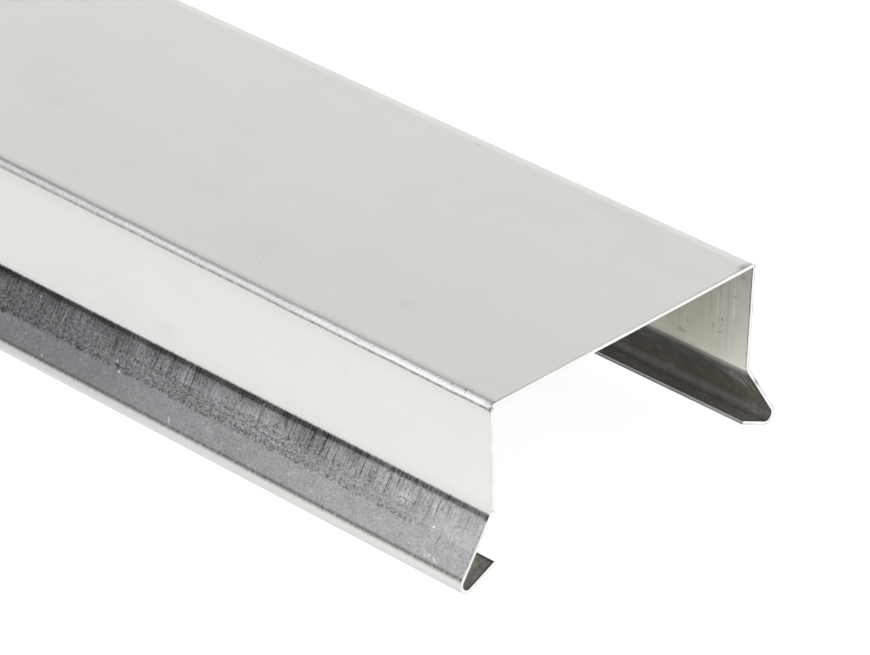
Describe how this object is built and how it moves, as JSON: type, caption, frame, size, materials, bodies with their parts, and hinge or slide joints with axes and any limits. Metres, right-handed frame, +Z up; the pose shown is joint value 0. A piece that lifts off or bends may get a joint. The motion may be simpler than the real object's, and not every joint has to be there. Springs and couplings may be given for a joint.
{
  "type": "aluminum fascia cap",
  "caption": "Folded sheet channel that caps the edge of a roof or wall: flat web, short legs, flared drip kicks and inturned lips.",
  "frame": {"origin": "middle of the cap's length and width, on the plane of the two hems that it stands on", "axes": "+X along the cap's length, +Y across the web, +Z up through the web's top face"},
  "size_m": [3.048, 0.0916, 0.0396],
  "materials": {
    "mill_aluminium": "bare mill finish, satin, scuffed on the kicks"
  },
  "bodies": {
    "root": {"fascia_cap": "mill_aluminium"}
  },
  "joints": []
}
